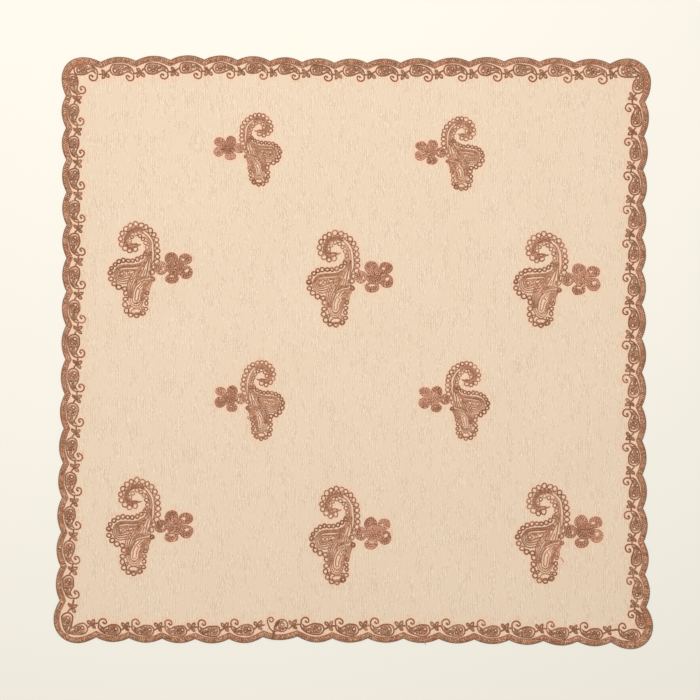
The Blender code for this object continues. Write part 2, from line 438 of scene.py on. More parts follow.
def thread_on_path():
    """Turns paths into thread: a round or flattened strand with soft ends. It leaves on the strand how far
    along it and round it each point is, how squarely it faces up, and a tone of its own for each path."""
    tree, given, result = new_tree(
        "GeometryNodeTree",
        "thread_on_path",
        {
            "Geometry": "Geometry",
            "Radius": 0.55 * MM,
            "Flatness": 1.0,
            "Sides": 6,
            "Seed": 1,
            "Material": "Material",
        },
        ("Geometry",),
    )
    level = geo(tree, "SetCurveNormal", {"Curve": given["Geometry"]}, mode="Z_UP")
    spline = node(tree, "GeometryNodeSplineParameter").outputs
    to_far_end = maths(tree, "SUBTRACT", geo(tree, "SplineLength"), spline["Length"])
    to_end = maths(tree, "MINIMUM", spline["Length"], to_far_end)
    soft_end = ranged(tree, to_end, 0.0, 0.6 * MM, 0.45, 1.0)
    closed = geo(tree, "InputSplineCyclic")
    thickening = maths(tree, "MULTIPLY_ADD", marked(tree, "deep"), DEEP_THICKENING, 1.0)
    girth = maths(tree, "MULTIPLY", maths(tree, "MAXIMUM", soft_end, closed), thickening)
    tone = chance(tree, given, {"ID": geo(tree, "CurveOfPoint")})
    path = mark(tree, mark(tree, level, "along", spline["Length"]), "tone", tone)
    circle = geo(tree, "CurvePrimitiveCircle", {"Resolution": given["Sides"], "Radius": given["Radius"]})
    circle = mark(tree, circle, "around", spline["Factor"])
    squash = node(tree, "ShaderNodeCombineXYZ", {"X": 1.0, "Y": given["Flatness"], "Z": 1.0}).outputs[0]
    profile = geo(tree, "Transform", {"Geometry": circle, "Scale": squash})
    feeds = {"Curve": path, "Profile Curve": profile, "Scale": girth, "Fill Caps": True}
    strand = geo(tree, "CurveToMesh", feeds)
    # crown is how squarely each point faces up. The thread's look paints shade with it down the strand's
    # sides.
    crown = node(tree, "ShaderNodeSeparateXYZ", {0: geo(tree, "InputNormal")}).outputs["Z"]
    strand = mark(tree, strand, "crown", crown)
    return hand_over(tree, geo(tree, "SetShadeSmooth", {"Geometry": strand}), given, result)


thread_tree = thread_on_path()


def as_thread(tree, paths, given):
    """Paths as thread, in a tree that is given the thread's own sizes."""
    feeds = {label: given[label] for label in ("Radius", "Flatness", "Sides", "Seed", "Material")}
    return geo(tree, "Group", {"Geometry": paths, **feeds}, node_tree=thread_tree)


def satin_tree():
    """One arched, flattened thread for each edge of the mesh, from needle hole to needle hole."""
    tree, given, result = new_tree(
        "GeometryNodeTree",
        "satin_stitches",
        {
            "Geometry": "Geometry",
            "Points": 5,
            "Arch": 0.4 * MM,
            "Unevenness": 0.2 * MM,
            "Radius": 1.0 * MM,
            "Flatness": 0.56,
            "Sides": 5,
            "Seed": 2,
            "Material": "Material",
        },
        ("Geometry",),
    )
    paths = geo(tree, "MeshToCurve", {"Mesh": given["Geometry"]})
    paths = geo(tree, "ResampleCurve", {"Curve": paths, "Count": given["Points"]}, mode="COUNT")
    share = node(tree, "GeometryNodeSplineParameter").outputs["Factor"]
    rise = maths(tree, "SINE", maths(tree, "MULTIPLY", share, math.pi))
    lift = chance(tree, given, {"ID": geo(tree, "CurveOfPoint"), "Min": -1.0, "Max": 1.0})
    crown = maths(tree, "MULTIPLY_ADD", lift, given["Unevenness"], given["Arch"])
    up = node(tree, "ShaderNodeCombineXYZ", {"Z": maths(tree, "MULTIPLY", rise, crown)}).outputs[0]
    paths = geo(tree, "SetPosition", {"Geometry": paths, "Offset": up})
    return hand_over(tree, as_thread(tree, paths, given), given, result)


def worked(host, tree, sizes, name):
    """Runs a tree on a host with these sizes, and keeps the outcome as a plain mesh. The host goes."""
    layer = host.modifiers.new(tree.name, "NODES")
    layer.node_group = tree
    for item in tree.interface.items_tree:
        if item.item_type == "SOCKET" and item.in_out == "INPUT" and item.name in sizes:
            layer[item.identifier] = sizes[item.name]
    bpy.context.view_layer.update()
    shown = bpy.context.evaluated_depsgraph_get()
    mesh = bpy.data.meshes.new_from_object(
        host.evaluated_get(shown), preserve_all_data_layers=True, depsgraph=shown
    )
    host.modifiers.remove(layer)
    bpy.data.objects.remove(host)
    mesh.name = name
    made = bpy.data.objects.new(name, mesh)
    bpy.context.scene.collection.objects.link(made)
    return made


TWIST_STARTS = 7.0  # turns between the threads' starting places, so that no two keep step
UNSTEADY_TURNS = 3.0  # and turns by which the twist runs ahead or behind over the cloth
DEEP_SHADE = 0.4
THREAD_MARKS = ("along", "around", "tone", "rosy", "crown", "deep")


def thread_grain():
    """The look along a strand: the twist of its plies with painted shade between them, its own tone, painted
    shade down its sides, and slow changes over the cloth."""
    tree, given, result = new_tree(
        "ShaderNodeTree",
        "thread_grain",
        {
            "Twist Pitch": 1.9 * MM,
            "Ply Shade Depth": 0.5,
            "Tone Spread": 0.5,
            "Valley Shade Depth": 0.6,
            "Fleck Size": 2.4 * MM,
        },
        ("Shade", "Rose", "Height"),
    )
    along, around, tone, rosy, crown, deep = (marked(tree, label) for label in THREAD_MARKS)
    where = node(tree, "ShaderNodeTexCoord").outputs["Object"]
    unsteady = noised(tree, where, (7 * MM, 7 * MM, 7 * MM), 0.0)
    drift = noised(tree, where, (26 * MM, 26 * MM, 26 * MM))
    fineness = maths(tree, "DIVIDE", 1.0, given["Fleck Size"])
    feeds = {"Vector": where, "Scale": fineness, "Detail": 1.0}
    flecks = node(tree, "ShaderNodeTexNoise", feeds).outputs["Fac"]
    start = maths(tree, "MULTIPLY_ADD", tone, TWIST_STARTS, around)
    start = maths(tree, "MULTIPLY_ADD", unsteady, UNSTEADY_TURNS, start)
    turn = maths(tree, "ADD", maths(tree, "DIVIDE", along, given["Twist Pitch"]), start)
    wave = maths(tree, "SINE", maths(tree, "MULTIPLY", turn, 2 * math.pi))
    plies = maths(tree, "MULTIPLY_ADD", wave, 0.5, 0.5)
    # Painted shade: the colour darkens between the twist's plies, where their grooves would lie in shade.
    shade_between_plies = maths(tree, "MULTIPLY", maths(tree, "SUBTRACT", 1.0, plies), given["Ply Shade Depth"])
    own = maths(tree, "MULTIPLY", maths(tree, "SUBTRACT", tone, 0.5), given["Tone Spread"])
    spots = maths(tree, "MULTIPLY", maths(tree, "SUBTRACT", flecks, 0.5), 0.9)
    # Painted shade: the colour darkens where the surface turns away from facing up, down the strand's sides
    # and into the valleys between strands.
    valley_shade = maths(tree, "MULTIPLY", ranged(tree, crown, 0.2, 0.85, 1.0, 0.0), given["Valley Shade Depth"])
    even = maths(tree, "ADD", maths(tree, "ADD", shade_between_plies, own), maths(tree, "ADD", spots, 0.25))
    shade = maths(tree, "ADD", maths(tree, "MULTIPLY_ADD", deep, DEEP_SHADE, even), valley_shade)
    slow = ranged(tree, drift, 0.42, 0.66, 0.0, 0.7)
    tree.links.new(node(tree, "ShaderNodeClamp", {"Value": shade}).outputs[0], result["Shade"])
    tree.links.new(maths(tree, "MAXIMUM", slow, rosy), result["Rose"])
    tree.links.new(plies, result["Height"])
    return tree


thread_look = thread_grain()


def thread_material(name, light, dark, twist_pitch, ply_shade_depth, tone_spread, valley_shade_depth, relief):
    """A dyed cotton thread: light on its plies, with painted shade between them and down its sides, and
    rosier here and there.
    """
    material, tree, shader = new_material(name)
    feeds = {"Twist Pitch": twist_pitch, "Ply Shade Depth": ply_shade_depth}
    feeds.update({"Tone Spread": tone_spread, "Valley Shade Depth": valley_shade_depth})
    grain = node(tree, "ShaderNodeGroup", feeds, node_tree=thread_look).outputs
    plain = blended(tree, grain["Shade"], light, dark)
    tinted = blended(tree, grain["Rose"], plain, THREAD_ROSE, "MULTIPLY")
    bumps = {"Height": grain["Height"], "Strength": relief, "Distance": 0.25 * MM}
    dress(tree, shader, tinted, bumps, ranged(tree, grain["Shade"], 0.0, 1.0, 0.52, 0.75), 0.3, 0.1)
    return material


# A thread's light colour is where it is lit. Its dark colour serves its own darker tones and also the painted
# shade between plies and down its sides.
THREAD_LIGHT = (0.85, 0.45, 0.260, 1.0)
THREAD_DARK = (0.265, 0.108, 0.046, 1.0)
THREAD_ROSE = (1.04, 0.87, 0.88, 1.0)
SATIN_LIGHT = (1.0, 0.56, 0.36, 1.0)
SATIN_DARK = (0.32, 0.132, 0.057, 1.0)
BINDING_LIGHT = (0.42, 0.255, 0.14, 1.0)
BINDING_DARK = (0.185, 0.105, 0.052, 1.0)

satin_thread = thread_material("satin_thread", SATIN_LIGHT, SATIN_DARK, 2.1 * MM, 0.85, 0.5, 0.62, 0.5)
cord_thread = thread_material("cord_thread", THREAD_LIGHT, THREAD_DARK, 1.9 * MM, 0.5, 0.4, 0.9, 0.6)
binding_thread = thread_material("binding_thread", BINDING_LIGHT, BINDING_DARK, 1.9 * MM, 0.5, 0.5, 0.6, 0.6)


def satin_band():
    def inner_depth(share):
        return SATIN_WIDTH - SATIN_SWAG * math.sin(math.pi * share)

    outer = edge_loop(scallop_depth(SATIN_OUTER), SATIN_OUTER, FINE_STEPS, FINE_CORNER_STEPS)
    inner = edge_loop(inner_depth, SATIN_WIDTH, FINE_STEPS, FINE_CORNER_STEPS, SATIN_CORNERS)
    places = satin_row(outer, SATIN_PITCH)
    points = []
    for i, place in enumerate(places):
        stitch = (places[(i + 1) % len(places)] - place) % len(outer)
        ahead = place + SATIN_SLANT * stitch
        points.append((*point_at(outer, place), OUTER_HOLES_HEIGHT))
        points.append((*point_at(inner, ahead), INNER_HOLES_HEIGHT))
    edges = [(i, i + 1) for i in range(0, len(points), 2)]
    host = new_object("satin_holes", points, edges, [])
    return worked(host, satin_tree(), {"Material": satin_thread}, "satin_band"), outer, inner


satin, outer_row, inner_row = satin_band()
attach(satin, "root")
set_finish(satin, "embroidery_thread")


# --------------------------------------
# The corded embroidery: a design is drawn as runs of thread and as guides for rows of small rings. It is
# worked in one go wherever it repeats, never twice quite alike, and couched onto the crepe from above.

CORD_HEIGHT = 0.82 * MM
CROSSING_HEIGHT = 1.05 * MM
Run = namedtuple("Run", "points closed height rosy ring deep", defaults=(False, CORD_HEIGHT, 0.0, 0.0, 0.0))
Place = namedtuple("Place", "x y turn stretch_x stretch_y")


def drawn(name, runs):
    """An object that holds a design: each run of thread, or guide for rings, as a chain of edges."""
    vertices = []
    edges = []
    marks = {"ring": [], "rosy": [], "deep": []}
    for run in runs:
        first = len(vertices)
        vertices += [(x * MM, y * MM, run.height) for x, y in run.points]
        edges += [(i, i + 1) for i in range(first, len(vertices) - 1)]
        if run.closed:
            edges.append((len(vertices) - 1, first))
        marks["ring"] += [run.ring * MM] * len(run.points)
        marks["rosy"] += [run.rosy] * len(run.points)
        marks["deep"] += [run.deep] * len(run.points)
    made = new_object(name, vertices, edges, [])
    for label, values in marks.items():
        made.data.attributes.new(label, "FLOAT", "POINT").data.foreach_set("value", values)
    return made


RING_SHIFT = 0.3 * MM
RING_SIZES = ((0.88, 0.88, 1.0), (1.1, 1.1, 1.0))  # the smallest and the largest a ring is worked


def vector_maths(tree, operation, feeds):
    return node(tree, "ShaderNodeVectorMath", feeds, operation=operation).outputs[0]


def embroidery_tree():
    """Lays a design at each point of the mesh, with its rows of rings, lets it wander and makes it thread."""
    tree, given, result = new_tree(
        "GeometryNodeTree",
        "laid_embroidery",
        {
            "Geometry": "Geometry",
            "Design": "Object",
            "Ring Overlap": 0.92,
            "Ring Points": 10,
            "Step": 1.2 * MM,
            "Radius": 0.67 * MM,
            "Flatness": 0.64,
            "Sides": 6,
            "Wander": 0.5 * MM,
            "Wander Size": 9 * MM,
            "Seed": 3,
            "Material": "Material",
        },
        ("Geometry",),
    )
    design = node(tree, "GeometryNodeObjectInfo", {"Object": given["Design"]}).outputs["Geometry"]
    ring_width = marked(tree, "ring")
    for_cords = maths(tree, "LESS_THAN", ring_width, 0.1 * MM)
    for_rings = maths(tree, "GREATER_THAN", ring_width, 0.0)
    cords = geo(tree, "MeshToCurve", {"Mesh": design, "Selection": for_cords})
    cords = geo(tree, "ResampleCurve", {"Curve": cords, "Length": given["Step"]}, mode="LENGTH")
    guides = geo(tree, "MeshToCurve", {"Mesh": design, "Selection": for_rings})
    pitch = maths(tree, "MULTIPLY", ring_width, given["Ring Overlap"])
    guides = geo(tree, "ResampleCurve", {"Curve": guides, "Length": pitch}, mode="LENGTH")
    circle = geo(tree, "CurvePrimitiveCircle", {"Resolution": given["Ring Points"], "Radius": 0.5})
    feeds = {0: (-RING_SHIFT, -RING_SHIFT, 0.0), 1: (RING_SHIFT, RING_SHIFT, 0.0)}
    shift = chance(tree, given, feeds, "FLOAT_VECTOR")
    centres = geo(tree, "SetPosition", {"Geometry": guides, "Offset": shift})
    uneven = chance(tree, given, {0: RING_SIZES[0], 1: RING_SIZES[1]}, "FLOAT_VECTOR")
    across = maths(tree, "SUBTRACT", ring_width, maths(tree, "MULTIPLY", given["Radius"], 2.0))
    size = vector_maths(tree, "SCALE", {0: uneven, "Scale": across})
    rings = geo(tree, "InstanceOnPoints", {"Points": centres, "Instance": circle, "Scale": size})
    rings = geo(tree, "RealizeInstances", {"Geometry": rings})
    joined = node(tree, "GeometryNodeJoinGeometry")
    tree.links.new(cords, joined.inputs[0])
    tree.links.new(rings, joined.inputs[0])
    turned = node(tree, "ShaderNodeCombineXYZ", {"Z": marked(tree, "turn")}).outputs[0]
    turned = node(tree, "FunctionNodeEulerToRotation", {0: turned}).outputs[0]
    feeds = {"Points": given["Geometry"], "Instance": joined.outputs[0], "Rotation": turned}
    feeds["Scale"] = marked(tree, "stretch", "FLOAT_VECTOR")
    laid = geo(tree, "RealizeInstances", {"Geometry": geo(tree, "InstanceOnPoints", feeds)})
    fineness = maths(tree, "DIVIDE", 1.0, given["Wander Size"])
    feeds = {"Vector": geo(tree, "InputPosition"), "Scale": fineness, "Detail": 1.0}
    stray = node(tree, "ShaderNodeTexNoise", feeds).outputs["Color"]
    stray = vector_maths(tree, "SUBTRACT", {0: stray, 1: (0.5, 0.5, 0.5)})
    reach = maths(tree, "MULTIPLY", given["Wander"], 4.0)
    offset = vector_maths(tree, "SCALE", {0: stray, "Scale": reach})
    mostly_flat = vector_maths(tree, "MULTIPLY", {0: offset, 1: (1, 1, 0.3)})
    moved = geo(tree, "SetPosition", {"Geometry": laid, "Offset": mostly_flat})
    return hand_over(tree, as_thread(tree, moved, given), given, result)


laying_tree = embroidery_tree()
AS_DRAWN = (Place(0.0, 0.0, 0.0, 1.0, 1.0),)


def embroidered(name, runs, places, thread=cord_thread, **sizes):
    """Works a design at each of the places, as one piece of the bandana."""
    design = drawn(f"{name}_design", runs)
    host = new_object(f"{name}_places", [(p.x * MM, p.y * MM, 0.0) for p in places], [], [])
    turns = host.data.attributes.new("turn", "FLOAT", "POINT")
    turns.data.foreach_set("value", [p.turn for p in places])
    stretches = host.data.attributes.new("stretch", "FLOAT_VECTOR", "POINT")
    stretches.data.foreach_set("vector", [s for p in places for s in (p.stretch_x, p.stretch_y, 1.0)])
    sizes.update({"Design": design, "Material": thread})
    made = worked(host, laying_tree, sizes, name)
    bpy.data.objects.remove(design)
    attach(made, "root")
    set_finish(made, "embroidery_thread")
    return made


# The cords that bind the band, along its outer and its inner row of needle holes.
OUTER_CORD_HEIGHT = 0.6 * MM
INNER_CORD_HEIGHT = 0.95 * MM
outer_cord = Run(outer_row[::2] / MM, True, OUTER_CORD_HEIGHT)
inner_cord = Run(inner_row[::2] / MM, True, INNER_CORD_HEIGHT)
embroidered("outer_binding", [outer_cord], AS_DRAWN, binding_thread, Radius=0.58 * MM, Wander=0.1 * MM)
embroidered("inner_binding", [inner_cord], AS_DRAWN, Radius=0.56 * MM, Wander=0.3 * MM)


# --------------------------------------
# The border's paisleys: one to a scallop, lying along the band, its tail run on into a curl. The outline
# and the curl are one cord. A lining, a swirl and small rings, the first its eye, fill the body.

BORDER_PITCH = 33.8
Station = namedtuple("Station", "x y half")
BORDER_PAISLEY = (
    Station(14.0, 7.9, 5.3),
    Station(17.6, 7.9, 5.2),
    Station(21.4, 7.5, 4.3),
    Station(24.8, 7.4, 2.9),
    Station(28.2, 8.8, 1.8),
    Station(30.6, 12.0, 0.9),
)
BORDER_CURL = (27.3, 15.2)
SWEEP_STEPS = 6  # points from one station to the next


def swept(stations):
    """Points on a smooth line through the stations, the way it goes at each, and its half width."""
    rows = np.array(stations, float)
    ends = np.vstack([2 * rows[0] - rows[1], rows, 2 * rows[-1] - rows[-2]])
    found = []
    for a, b, c, d in zip(ends, ends[1:], ends[2:], ends[3:]):
        for t in np.arange(SWEEP_STEPS) / SWEEP_STEPS:
            cubic = (3 * b - a - 3 * c + d) * t**3 + (2 * a - 5 * b + 4 * c - d) * t**2
            found.append(0.5 * (cubic + (c - a) * t + 2 * b))
    found = np.array(found + [rows[-1]])
    ways = np.gradient(found[:, :2], axis=0)
    return found[:, :2], ways / np.linalg.norm(ways, axis=1)[:, None], found[:, 2]


def swept_edge(stations, side, inset, first=0.0, last=None):
    """One edge of a sweep, moved in, between two stations: side is 1 on the right of its way, -1 left."""
    line, ways, halves = swept(stations)
    right = np.column_stack([ways[:, 1], -ways[:, 0]])
    edge = line + side * right * (halves - inset)[:, None]
    stop = len(edge) if last is None else round(last * SWEEP_STEPS) + 1
    return edge[round(first * SWEEP_STEPS) : stop]


def arc(x, y, radius, start, sweep, steps):
    """Points on an arc, from the start angle and through the sweep, in degrees."""
    angles = np.radians(start + sweep * np.linspace(0, 1, steps + 1))
    return np.column_stack([x + radius * np.cos(angles), y + radius * np.sin(angles)])


def round_start(stations, inset, sweep=180.0, steps=12):
    """Round the first station of a sweep, from its left edge to its right one."""
    line, ways, halves = swept(stations)
    left = math.degrees(math.atan2(ways[0][1], ways[0][0])) + 90
    return arc(*line[0], halves[0] - inset, left, sweep, steps)


def spiral(x, y, outer, inner, turns, start=0.0, steps=14):
    """Points on a flat spiral, anticlockwise from its outer end where turns is positive."""
    share = np.linspace(0, 1, max(3, round(abs(turns) * steps)) + 1)
    angles = math.radians(start) + 2 * math.pi * turns * share
    radii = outer + (inner - outer) * share
    return np.column_stack([x + radii * np.cos(angles), y + radii * np.sin(angles)])


def ring(x, y, radius, **kind):
    return Run(arc(x, y, radius, 0, 330, 11), True, **kind)


def outline_of(stations, inset, *beyond):
    """A cord down a sweep's left edge, round its start, up its right edge, and on along what lies beyond."""
    left = swept_edge(stations, -1, inset)[::-1]
    right = swept_edge(stations, 1, inset)
    return Run(np.vstack([left, round_start(stations, inset)[1:-1], right, *beyond]), deep=1.0)


def lobe(stations, left, back, right, left_stop, right_stop, **kind):
    """A cord inside a sweep's outline: down its left edge from a station, round its start and up its right
    edge. It lies this far inside the left edge, the back of the round start and the right edge."""
    swing = np.radians(np.linspace(0, 180, 17)[1:-1])
    side = np.where(swing < math.pi / 2, left, right)
    line, ways, halves = swept(stations)
    radii = halves[0] - back - (side - back) * np.cos(swing) ** 2
    angles = swing + math.atan2(ways[0][1], ways[0][0]) + math.pi / 2
    around = line[0] + np.column_stack([radii * np.cos(angles), radii * np.sin(angles)])
    upper = swept_edge(stations, -1, left, 0, left_stop)[::-1]
    lower = swept_edge(stations, 1, right, 0, right_stop)
    return Run(np.vstack([upper, around, lower]), **kind)


RingAt = namedtuple("RingAt", "x y radius")
BODY_RINGS = (
    RingAt(13.2, 9.0, 1.7),
    RingAt(14.4, 5.4, 1.1),
    RingAt(16.7, 9.7, 1.25),
    RingAt(17.3, 6.3, 1.35),
    RingAt(19.9, 8.6, 1.25),
    RingAt(20.7, 5.5, 0.9),
    RingAt(22.9, 7.5, 1.0),
)


def border_body():
    """What fills a paisley of the border: a lining that stands off at the round end, a swirl, small rings of
    which the first is the eye and, in the tail, three cords side by side."""
    lining = lobe(BORDER_PAISLEY, 1.5, 2.4, 1.5, 2.2, 2.2)
    swirl = Run(arc(13.4, 9.3, 3.1, -150, 200, 10))
    tail = [
        Run(((23.0, 5.6), (26.0, 6.3), (29.0, 9.0)), deep=0.5),
        Run(((24.2, 8.6), (26.0, 8.8), (28.0, 10.4)), deep=0.3),
        Run(((24.0, 7.2), (26.4, 7.6), (28.8, 10.0)), height=CROSSING_HEIGHT, deep=0.3),
    ]
    return [lining, swirl, *tail, *(ring(*each, deep=0.85) for each in BODY_RINGS)]


def border_hook(x, y):
    """A curl that stands open towards its paisley, and ends in a knot."""
    over = arc(x + 0.1, y - 0.1, 3.8, -32, 206, 16)
    back = arc(x - 2.1, y + 0.1, 1.6, 176, 190, 8)
    return np.vstack([over, back])


def border_paisley():
    hook = border_hook(*BORDER_CURL)
    knot = ring(*(hook[-1] - (0.2, 0.5)), 0.6, height=CROSSING_HEIGHT, deep=1.0)
    return [outline_of(BORDER_PAISLEY, 0.0, hook), knot, *border_body()]


def laid_between(design_from, design_to, cloth_from, cloth_to, mirrored=False):
    """The place that brings two points of a design to two points of the cloth, all in mm."""
    ends = [complex(*design_from), complex(*design_to)]
    if mirrored:
        ends = [end.conjugate() for end in ends]
    goals = [complex(*cloth_from), complex(*cloth_to)]
    scaling = (goals[1] - goals[0]) / (ends[1] - ends[0])
    origin = goals[0] - scaling * ends[0]
    size = abs(scaling)
    turn = math.atan2(scaling.imag, scaling.real)
    return Place(origin.real, origin.imag, turn, size, -size if mirrored else size)


def scallop_places(skipped=()):
    """A place at each scallop of each side, so that a design's pitch spans it from cusp to cusp."""
    places = []
    for number, side in enumerate(SIDES):
        cusps = [
            (np.array(side_point(side, i / SCALLOPS_A_SIDE, 0.0)) - middle) / MM
            for i in range(SCALLOPS_A_SIDE + 1)
        ]
        for i in range(SCALLOPS_A_SIDE):
            if (number, i) in skipped:
                continue
            first, last = (cusps[i], cusps[i + 1])[:: side.curls]
            places.append(laid_between((0, 0), (BORDER_PITCH, 0), first, last, side.curls < 0))
    return places


JOIN = (0, 5)  # the side and scallop where the border was begun and ended

# The four paisleys at the two corners where the border's curls lead away: where each one's eye and curl
# lie, and whether the design is turned over.
EYE = (13.4, 8.9)
Corner = namedtuple("Corner", "from_x from_y to_x to_y mirrored")
CURLED_CORNERS = (
    Corner(-274.3, 281.7, -259.8, 275.4, True),
    Corner(-279.7, 273.7, -271.3, 262.2, False),
    Corner(282.2, -281.9, 269.2, -274.8, True),
    Corner(287.3, -272.2, 277.9, -262.2, False),
)


def corner_places(corners, design_from, design_to):
    return [laid_between(design_from, design_to, c[:2], c[2:4], c.mirrored) for c in corners]


border_places = scallop_places(skipped=(JOIN,)) + corner_places(CURLED_CORNERS, EYE, BORDER_CURL)
embroidered("border_paisleys", border_paisley(), border_places, Radius=0.54 * MM)

# At the other two corners the tails meet, and have no curls.
PLAIN_PAISLEY = (
    Station(13.4, 8.2, 5.3),
    Station(17.2, 8.1, 5.1),
    Station(21.0, 8.1, 3.9),
    Station(25.0, 8.2, 2.2),
    Station(28.0, 8.2, 0.5),
)
PLAIN_TIP = (28.0, 8.2)
PLAIN_CORNERS = (
    Corner(270.2, 280.4, 286.8, 277.4, True),
    Corner(284.0, 264.5, 286.6, 279.4, False),
    Corner(-285.2, -265.9, -285.7, -280.9, False),
    Corner(-270.9, -275.5, -285.2, -279.8, True),
)
plain_paisley = [outline_of(PLAIN_PAISLEY, 0.0), *border_body()]
plain_places = corner_places(PLAIN_CORNERS, EYE, PLAIN_TIP)
embroidered("corner_paisleys", plain_paisley, plain_places, Radius=0.54 * MM)


# --------------------------------------
# The border's leaves: a spray of three, at each cusp between one curl and the next paisley, each leaf a
# loop of cord, on a stem that ties the figures together.

LEAVES_AT = (4.1, 11.0)
LEAVES_LINK = (-3.0, 12.0)
Leaf = namedtuple("Leaf", "x y width")
LEAVES = (Leaf(7.9, 15.6, 2.3), Leaf(0.9, 16.2, 2.5), Leaf(0.4, 7.6, 2.0))


def leaf_loop(foot, leaf):
    """A fat pointed loop from the foot to the leaf's tip and back."""
    foot = np.array(foot)
    way = np.array((leaf.x, leaf.y)) - foot
    across = np.array((-way[1], way[0])) / np.linalg.norm(way)
    shares = np.linspace(0, 1, 9)
    swell = leaf.width * 0.5 * np.sin(math.pi * shares**1.3)
    one = foot + way * shares[:, None] + across * swell[:, None]
    other = foot + way * shares[:, None] - across * swell[:, None]
    return Run(np.vstack([one, other[-2:0:-1]]), True, deep=0.8)


def leaf_spray():
    loops = [leaf_loop(LEAVES_AT, leaf) for leaf in LEAVES]
    stem = Run(((8.8, 7.8), (6.6, 9.2), LEAVES_AT), height=CROSSING_HEIGHT, deep=0.8)
    link = Run((LEAVES_AT, (1.6, 11.4), (-0.8, 12.0), LEAVES_LINK), deep=1.0)
    heart = Run(arc(*LEAVES_AT, 0.7, 0, 300, 6), True, CROSSING_HEIGHT, deep=1.0)
    return [*loops, stem, link, heart]


SPRAY_CORNERS = (
    Corner(259.7, 278.3, 253.2, 276.7, True),
    Corner(280.2, 255.6, 278.6, 249.0, False),
    Corner(-281.8, -255.2, -279.6, -247.8, False),
    Corner(-261.6, -272.4, -254.6, -270.6, True),
)
spray_places = scallop_places() + corner_places(SPRAY_CORNERS, LEAVES_AT, LEAVES_LINK)
embroidered("border_leaves", leaf_spray(), spray_places, Radius=0.6 * MM)

# Where a spray stands too far from the next curl, a short cord ties them.
CORNER_TIES = (
    Run(((259.4, -278.1), (262.6, -277.0), (266.4, -277.6)), deep=1.0),
    Run(((-280.4, -250.4), (-279.8, -248.4), (-279.2, -246.2)), deep=1.0),
    Run(((279.1, 251.0), (279.0, 249.4), (279.2, 248.2)), deep=1.0),
)
embroidered("corner_ties", CORNER_TIES, AS_DRAWN, Wander=0.2 * MM)


# --------------------------------------
# The join: where the border began and ended, one paisley is cut short, its curl is left on its own at the
# end of a bare cord, and the band's end is folded over its start and sewn down.

JOIN_CLOSING = ((-73.4, -267.9), (-76.8, -270.6), (-78.4, -274.2), (-79.0, -277.0))
JOIN_RINGS = (
    RingAt(-71.3, -272.2, 1.8),
    RingAt(-73.6, -275.7, 1.1),
    RingAt(-70.4, -276.4, 1.2),
    RingAt(-77.2, -277.7, 1.3),
    RingAt(-73.6, -278.2, 1.0),
    RingAt(-67.9, -275.0, 0.9),
)


def border_join():
    """Drawn where it lies. The body is round, and closed with a thick cord on the side where it was cut."""
    body = [
        Run(arc(-71.8, -273.2, 6.2, -130, 300, 14), deep=0.5),
        Run(arc(-71.0, -272.6, 3.9, 70, 230, 10), deep=0.6),
        Run(JOIN_CLOSING, height=CROSSING_HEIGHT, deep=1.0),
        Run(((-73.8, -270.2), (-76.2, -272.2), (-77.2, -275.0)), height=CROSSING_HEIGHT, deep=1.0),
        *(ring(*each, deep=0.6) for each in JOIN_RINGS),
    ]
    tail = np.vstack([((-79.8, -279.4), (-83.6, -275.4)), spiral(-82.5, -268.2, 3.7, 0.9, -1.25, 215)])
    return [*body, Run(tail, rosy=0.8, deep=0.6)]


embroidered("border_join", border_join(), AS_DRAWN, Radius=0.54 * MM)

# The stitches that sew the band's folded end down, from the table's side of it to the field's.
FOLD = (
    Run(((-79.6, -277.6), (-80.3, -282.4), (-81.4, -287.2)), height=1.45 * MM, deep=1.0),
    Run(((-78.6, -278.6), (-79.2, -282.6), (-80.0, -286.6)), height=1.4 * MM, deep=0.6),
)
embroidered("fold_stitches", FOLD, AS_DRAWN, Radius=0.5 * MM, Wander=0.1 * MM)


# --------------------------------------
# The sprigs: a tall paisley with a hooked top, edged with a chain of rings and filled with cords that
# follow its outline, a drop that hangs below it, and a flower of four petals on a leaf at its side.

DESIGN_WIDTH = 87.0
DESIGN_HEIGHT = 97.0
PAISLEY = (
    Station(-27.0, -5.4, 16.4),
    Station(-13.5, -2.5, 15.0),
    Station(-4.5, 4.0, 12.0),
    Station(1.2, 12.0, 9.6),
    Station(2.9, 21.0, 7.8),
    Station(1.1, 29.6, 8.2),
    Station(-4.2, 37.0, 7.9),
    Station(-13.0, 41.4, 7.3),
    Station(-21.3, 37.8, 7.5),
    Station(-25.4, 31.0, 7.3),
    Station(-24.4, 24.2, 5.9),
    Station(-18.0, 20.7, 4.7),
    Station(-10.0, 23.7, 2.0),
)
DROP = (
    Station(-14.8, -35.6, 13.6),
    Station(-14.0, -24.0, 13.2),
    Station(-8.0, -14.0, 11.0),
    Station(-1.0, -8.5, 6.0),
)
DROP_HEART = (
    Station(-13.8, -30.4, 3.8),
    Station(-12.9, -23.5, 4.0),
    Station(-9.2, -17.4, 4.3),
    Station(-4.2, -13.8, 2.8),
    Station(0.8, -11.0, 0.9),
)
DROP_CRADLE = (
    Station(-5.0, 8.0, 1.3),
    Station(-9.6, 0.6, 2.8),
    Station(-14.6, -6.6, 4.0),
    Station(-18.4, -13.6, 4.3),
    Station(-20.2, -21.0, 3.1),
    Station(-20.0, -29.0, 2.1),
    Station(-17.8, -35.2, 2.0),
    Station(-13.6, -37.3, 2.0),
    Station(-9.8, -34.4, 1.7),
    Station(-7.4, -28.4, 1.0),
    Station(-6.4, -21.0, 1.1),
    Station(-3.0, -14.8, 2.0),
    Station(1.8, -10.6, 0.8),
)
DROP_BROW = (
    Station(-15.4, -13.8, 0.8),
    Station(-12.6, -10.6, 1.2),
    Station(-7.4, -8.4, 1.2),
    Station(-0.8, -7.5, 0.7),
)
BIG_RING = 6.1
LOWER_RING = 5.7
SMALL_RING = 5.0
HOOK_RING = 4.8


